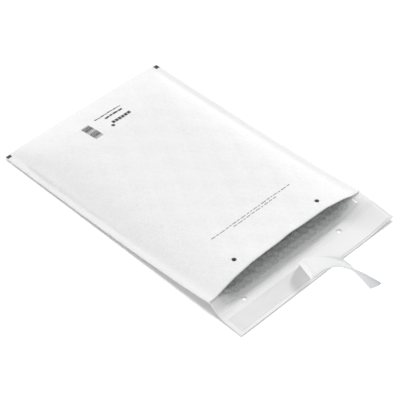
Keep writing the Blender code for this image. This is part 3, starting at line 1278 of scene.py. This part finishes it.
def dress_seam_glue(nodes: dict[str, bpy.types.Object]) -> list[bpy.types.Object]:
    """Give the two bands of seam glue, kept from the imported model, their material.

    Args:
        nodes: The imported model's nodes.

    Returns:
        The two bands.
    """
    glue = HotMelt().build()
    bands = [nodes["seam_glue_left"], nodes["seam_glue_right"]]
    for band in bands:
        band.data.materials.clear()
        band.data.materials.append(glue)
    return bands


# ---------------------------------------------------------------- studio


@dataclass(frozen=True)
class Lamp:
    """A broad soft lamp far away: where it stands, how broad it looks, what it lights."""

    name: str
    azimuth: float      # degrees clockwise from the closed end, seen from above
    elevation: float
    breadth: float      # degrees
    power: float

    def build(self, lit: bpy.types.Collection, shading: bpy.types.Collection | None = None) -> None:
        """Hang the lamp.

        Args:
            lit: The things that it lights.
            shading: The only things that throw its shadow; all do where none are given.
        """
        lamp = bpy.data.lights.new(self.name, "SUN")
        lamp.energy = self.power
        lamp.angle = math.radians(self.breadth)
        thing = bpy.data.objects.new(self.name, lamp)
        turn, rise = math.radians(self.azimuth), math.radians(self.elevation)
        towards = Vector((math.sin(turn) * math.cos(rise), math.cos(turn) * math.cos(rise), math.sin(rise)))
        thing.rotation_euler = towards.to_track_quat("Z", "Y").to_euler()
        thing.light_linking.receiver_collection = lit
        if shading:
            thing.light_linking.blocker_collection = shading
        bpy.context.scene.collection.objects.link(thing)


@dataclass
class Studio:
    """Plain white table, soft light all round, three broad lamps and the camera."""

    mouth: float
    floor_half: float = 12.0
    floor_drop: float = 1.4 * MM
    sky: float = 0.54
    horizon: float = 1.12       # tone of the sky at the horizon and overhead
    zenith: float = 0.9
    key: Lamp = Lamp("key from the right", 72.0, 22.0, 8.0, 2.2)
    fill: Lamp = Lamp("fill from the left", -70.0, 28.0, 40.0, 1.6)
    table_lamp: Lamp = Lamp("lamp over the table", 45.0, 76.0, 24.0, 2.0)
    target: tuple[float, float] = (-9.41 * MM, 130.38 * MM)     # across, and past the mouth line
    azimuth: float = -43.98
    elevation: float = 44.04
    roll: float = -0.75
    distance: float = 1.733
    lens: float = 133.6
    sensor: float = 36.0
    far: float = 20.0

    def build_floor(self) -> bpy.types.Object:
        """Make the table top, a little under the envelope's edges.

        Returns:
            The floor.
        """
        side = np.array([-1.0, 1.0]) * self.floor_half
        grid = np.stack([*np.meshgrid(side, side), np.full((2, 2), -self.floor_drop)], axis=-1)
        floor = mesh_piece("table_top", grid, grid_faces(2, 2), [StudioFloor().build()], smooth=False)
        return floor

    def build_sky(self) -> None:
        """Light the scene evenly, a little more from the sides than from above."""
        world = bpy.data.worlds.new("light tent")
        bpy.context.scene.world = world
        world.use_nodes = True
        tree = world.node_tree
        tree.nodes.clear()
        place = add_node(tree, "ShaderNodeTexCoord").outputs["Generated"]
        upward = add_node(tree, "ShaderNodeSeparateXYZ", None, {"Vector": place}).outputs["Z"]
        tone = add_node(tree, "ShaderNodeMapRange", None,
                        {"Value": upward, "From Min": 0.0, "From Max": 1.0, "To Min": self.horizon,
                         "To Max": self.zenith})
        light = add_node(tree, "ShaderNodeBackground", None,
                         {"Color": tone.outputs["Result"], "Strength": self.sky})
        add_node(tree, "ShaderNodeOutputWorld", None, {"Surface": light.outputs["Background"]})

    def build_lamps(self, pieces: list[bpy.types.Object], floor: bpy.types.Object) -> None:
        """Hang the key and the fill for the envelope and the wide lamp for the table.

        Args:
            pieces: The envelope's pieces.
            floor: The table top.
        """
        envelope = bpy.data.collections.new("lit by key and fill")
        table = bpy.data.collections.new("lit by the wide lamp")
        pocket = bpy.data.collections.new("shades the table")
        for piece in pieces:
            envelope.objects.link(piece)
            if not piece.name.startswith("release_film"):
                pocket.objects.link(piece)
        table.objects.link(floor)
        self.key.build(envelope)
        self.fill.build(envelope)
        self.table_lamp.build(table, pocket)

    def build_camera(self) -> None:
        """Place the camera on its line of sight to the target."""
        target = Vector((self.target[0], self.mouth + self.target[1], 0.0))
        turn, rise = math.radians(self.azimuth), math.radians(self.elevation)
        back = Vector((math.sin(turn) * math.cos(rise), -math.cos(turn) * math.cos(rise), math.sin(rise)))
        right = Vector((math.cos(turn), math.sin(turn), 0.0))
        up = back.cross(right)
        lean = math.radians(self.roll)
        right, up = (right * math.cos(lean) + up * math.sin(lean),
                     up * math.cos(lean) - right * math.sin(lean))
        camera = bpy.data.cameras.new("camera")
        camera.lens = self.lens
        camera.sensor_width = self.sensor
        camera.clip_end = self.far
        thing = bpy.data.objects.new("camera", camera)
        turned = Matrix((right, up, back)).transposed().to_4x4()
        turned.translation = target + back * self.distance
        thing.matrix_world = turned
        bpy.context.scene.collection.objects.link(thing)
        bpy.context.scene.camera = thing

    def build(self, pieces: list[bpy.types.Object]) -> None:
        """Make the whole studio.

        Args:
            pieces: The envelope's pieces.
        """
        self.build_lamps(pieces, self.build_floor())
        self.build_sky()
        self.build_camera()
        bpy.context.scene.view_settings.view_transform = "Standard"


def main() -> None:
    """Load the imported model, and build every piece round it."""
    logging.basicConfig(level=logging.INFO, format="%(message)s")
    for thing in list(bpy.data.objects):
        bpy.data.objects.remove(thing)
    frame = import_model()
    form = SheetForm(mouth=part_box("outer_paper")[0].y + SheetForm.flap)
    holes = PunchedHoles(form)
    pieces = [PaperSheet(form, holes).build()]
    pieces += BubbleFilm(form, holes).build()
    pieces += SealStrip(form).build()
    pieces += PrintedMarks(form).build()
    pieces += dress_seam_glue(frame["nodes"])
    for piece in pieces:
        LOG.info("%s: %d faces", piece.name, len(piece.data.polygons))
    Studio(form.mouth).build(pieces)


if __name__ == "__main__":
    main()
